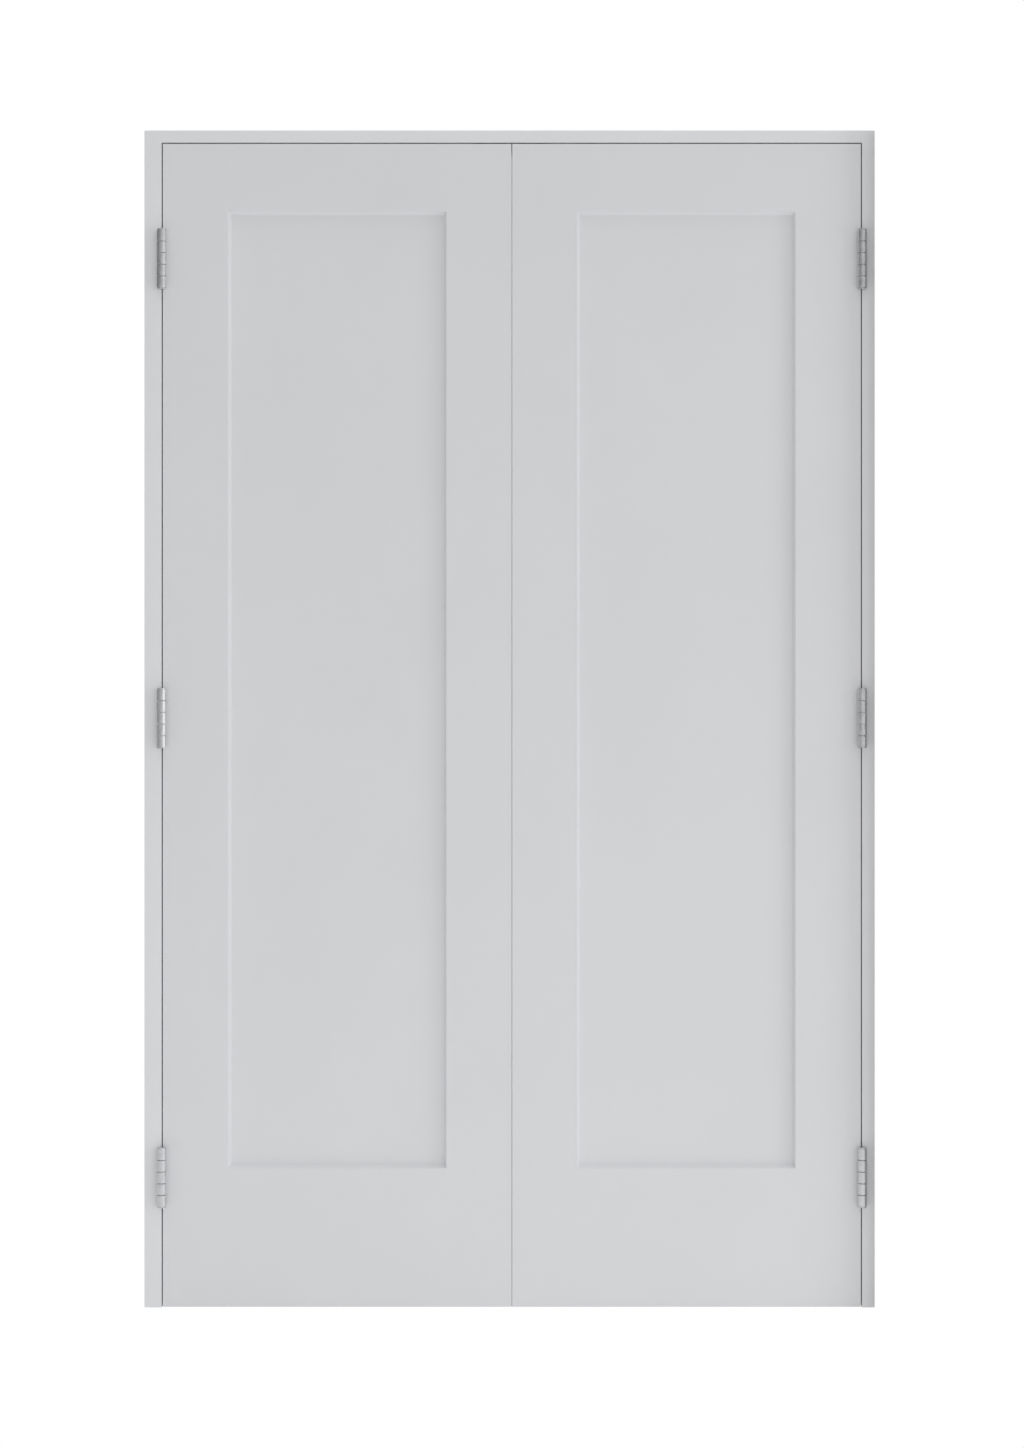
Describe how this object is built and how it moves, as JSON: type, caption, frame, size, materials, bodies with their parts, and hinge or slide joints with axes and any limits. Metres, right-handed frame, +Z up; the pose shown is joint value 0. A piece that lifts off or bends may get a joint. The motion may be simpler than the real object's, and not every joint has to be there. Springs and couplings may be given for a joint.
{
  "type": "prehung interior double doors",
  "caption": "Pair of white panelled interior doors hung on butt hinges in a three-sided wooden frame, both opening the same way.",
  "frame": {"origin": "middle of the whole unit's footprint, at the height of the frame's feet", "axes": "+Z up, +X to the right seen from the side the doors open to, -Y towards that side"},
  "size_m": [1.276, 0.1332, 2.0564],
  "materials": {
    "painted_wood": "satin white paint",
    "bare_wood": "bare beech",
    "satin_nickel": "satin nickel",
    "zinc_steel": "bright zinc",
    "brass": "satin"
  },
  "bodies": {
    "frame": {"head_jamb": "painted_wood", "head_stop": "painted_wood", "jamb_hinge_screws": "satin_nickel", "corner_screws": "zinc_steel", "strike_screws": "satin_nickel", "stop_brads": "zinc_steel", "left_jamb": "painted_wood", "left_stop": "painted_wood", "left_strike": "satin_nickel", "left_lower_jamb_plate": "satin_nickel", "left_lower_pin": "satin_nickel", "left_middle_jamb_plate": "satin_nickel", "left_middle_pin": "satin_nickel", "left_upper_jamb_plate": "satin_nickel", "left_upper_pin": "satin_nickel", "right_jamb": "painted_wood", "right_stop": "painted_wood", "right_strike": "satin_nickel", "right_lower_jamb_plate": "satin_nickel", "right_lower_pin": "satin_nickel", "right_middle_jamb_plate": "satin_nickel", "right_middle_pin": "satin_nickel", "right_upper_jamb_plate": "satin_nickel", "right_upper_pin": "satin_nickel"},
    "left_door": {"left_hinge_stile": "painted_wood", "left_meeting_stile": "painted_wood", "left_top_rail": "painted_wood", "left_bottom_rail": "painted_wood", "left_panel": "painted_wood", "left_dowels": "bare_wood", "left_hinge_screws": "satin_nickel", "left_catch_housing": "brass", "left_catch_spring": "zinc_steel", "left_lower_door_plate": "satin_nickel", "left_middle_door_plate": "satin_nickel", "left_upper_door_plate": "satin_nickel"},
    "left_ball": {"left_catch_ball": "zinc_steel"},
    "right_door": {"right_hinge_stile": "painted_wood", "right_meeting_stile": "painted_wood", "right_top_rail": "painted_wood", "right_bottom_rail": "painted_wood", "right_panel": "painted_wood", "right_dowels": "bare_wood", "right_hinge_screws": "satin_nickel", "right_catch_housing": "brass", "right_catch_spring": "zinc_steel", "right_lower_door_plate": "satin_nickel", "right_middle_door_plate": "satin_nickel", "right_upper_door_plate": "satin_nickel"},
    "right_ball": {"right_catch_ball": "zinc_steel"}
  },
  "joints": [
    {"name": "left_swing", "type": "hinge", "parent": "frame", "child": "left_door", "pos_m": [-0.6069, -0.05838, 1.017], "axis": [0, 0, -1], "range_deg": [0, 180]},
    {"name": "right_swing", "type": "hinge", "parent": "frame", "child": "right_door", "pos_m": [0.6149, -0.05838, 1.017], "axis": [0, 0, 1], "range_deg": [0, 180]},
    {"name": "left_ball_press", "type": "slide", "parent": "left_door", "child": "left_ball", "axis": [0, 0, 1], "range_m": [-0.0035, 0], "stiffness_N_per_m": 4000, "deforming": ["left_catch_spring"]},
    {"name": "right_ball_press", "type": "slide", "parent": "right_door", "child": "right_ball", "axis": [0, 0, 1], "range_m": [-0.0035, 0], "stiffness_N_per_m": 4000, "deforming": ["right_catch_spring"]}
  ]
}
